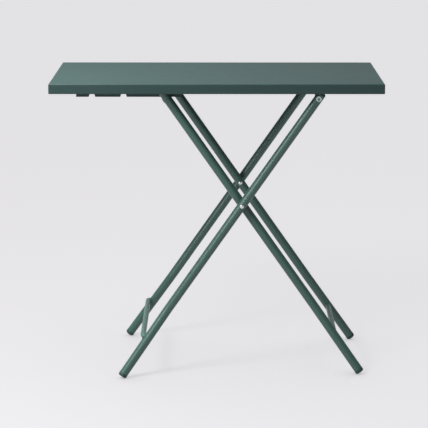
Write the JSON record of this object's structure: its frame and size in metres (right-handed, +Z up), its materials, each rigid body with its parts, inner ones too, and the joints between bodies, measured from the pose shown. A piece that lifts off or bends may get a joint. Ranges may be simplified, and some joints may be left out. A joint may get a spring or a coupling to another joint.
{
  "type": "folding bistro table",
  "caption": "Folding bistro table: pressed steel top with turned-down edges on crossed tube legs, hinged under one end and set by a stay bar in notched racks at the other.",
  "frame": {"origin": "on the floor under the middle of the top", "axes": "+X along the top towards the hinged end, +Y to the rear, +Z up"},
  "size_m": [0.785, 0.457, 0.711],
  "materials": {
    "top_paint": "satin powder coat",
    "frame_paint": "satin powder coat",
    "zinc_steel": "zinc plated",
    "cap_plastic": "moulded, matt",
    "dark_nylon": "moulded, matt"
  },
  "bodies": {
    "top": {"tabletop": "top_paint", "hinge_channel": "frame_paint", "mid_channel": "frame_paint", "rack_front": "frame_paint", "rack_rear": "frame_paint", "hinge_bracket_front": "frame_paint", "hinge_bracket_rear": "frame_paint", "hinge_sleeve_front": "zinc_steel", "hinge_sleeve_rear": "zinc_steel", "hinge_bolt_front": "zinc_steel", "hinge_bolt_rear": "zinc_steel"},
    "outer_frame": {"hinge_washer_front": "dark_nylon", "hinge_washer_rear": "dark_nylon", "outer_leg_front": "frame_paint", "outer_leg_rear": "frame_paint", "outer_brace": "frame_paint", "outer_foot_front": "cap_plastic", "outer_foot_rear": "cap_plastic", "outer_plug_front": "cap_plastic", "outer_plug_rear": "cap_plastic", "pivot_rivet_front": "zinc_steel", "pivot_rivet_rear": "zinc_steel", "pivot_spacer_front": "dark_nylon", "pivot_spacer_rear": "dark_nylon"},
    "inner_frame": {"inner_leg_front": "frame_paint", "inner_leg_rear": "frame_paint", "inner_brace": "frame_paint", "stay_bar": "frame_paint", "inner_foot_front": "cap_plastic", "inner_foot_rear": "cap_plastic", "inner_plug_front": "cap_plastic", "inner_plug_rear": "cap_plastic"}
  },
  "joints": [
    {"name": "leg_fold", "type": "hinge", "parent": "top", "child": "outer_frame", "pos_m": [0.24, 0, 0.672], "axis": [0, 1, 0], "range_deg": [0, 55]},
    {"name": "leg_scissor", "type": "hinge", "parent": "outer_frame", "child": "inner_frame", "pos_m": [0.0599, 0, 0.41479], "axis": [0, 1, 0], "range_deg": [-110, 0]}
  ],
  "couplings": [
    {"joint": "leg_scissor", "follows": "leg_fold", "ratio": -2}
  ]
}
